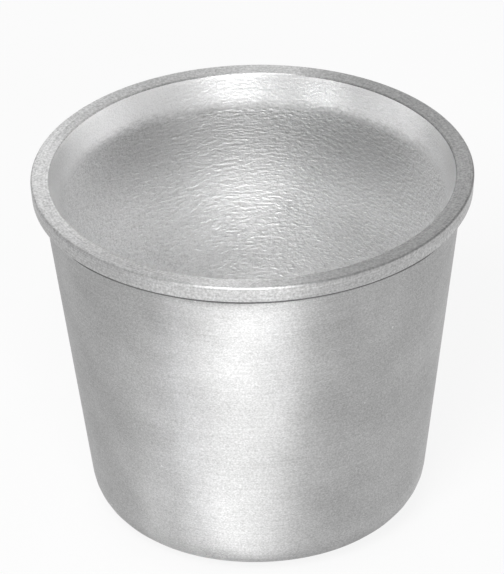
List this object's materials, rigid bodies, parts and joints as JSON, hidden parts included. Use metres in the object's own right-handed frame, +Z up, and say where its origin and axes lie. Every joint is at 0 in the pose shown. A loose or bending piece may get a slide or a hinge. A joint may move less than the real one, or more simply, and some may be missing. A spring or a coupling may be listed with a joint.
{
  "type": "candle mold",
  "caption": "Tapered round aluminium cup with a solid lip, flared mouth, rounded base corner and raised base panel, wicked through a base hole closed by a screw and rubber washer, for casting a candle.",
  "frame": {"origin": "centre of the flat ring that the mold stands on, at the table's level", "axes": "+Z up along the cup's axis, out of the mouth; X and Y are alike"},
  "size_m": [0.06, 0.06, 0.0505],
  "materials": {
    "cup_aluminium": "satin outside with faint turning lines, orange-peel grain inside, smooth turned rim",
    "washer_rubber": "matt black rubber",
    "screw_steel": "bright zinc plate"
  },
  "bodies": {
    "cup": {"mold_cup": "cup_aluminium"},
    "washer": {"seal_washer": "washer_rubber"},
    "screw": {"wick_screw": "screw_steel"}
  },
  "joints": [
    {"name": "washer_slide", "type": "slide", "parent": "cup", "child": "washer", "axis": [0, 0, -1], "range_m": [0, 0.0042]},
    {"name": "screw_turn", "type": "hinge", "parent": "washer", "child": "screw", "pos_m": [0, 0, 0.0036], "axis": [0, 0, -1], "range_deg": [0, 2160]}
  ],
  "couplings": [
    {"joint": "screw_turn", "follows": "washer_slide", "rad_per_m": 8976}
  ]
}
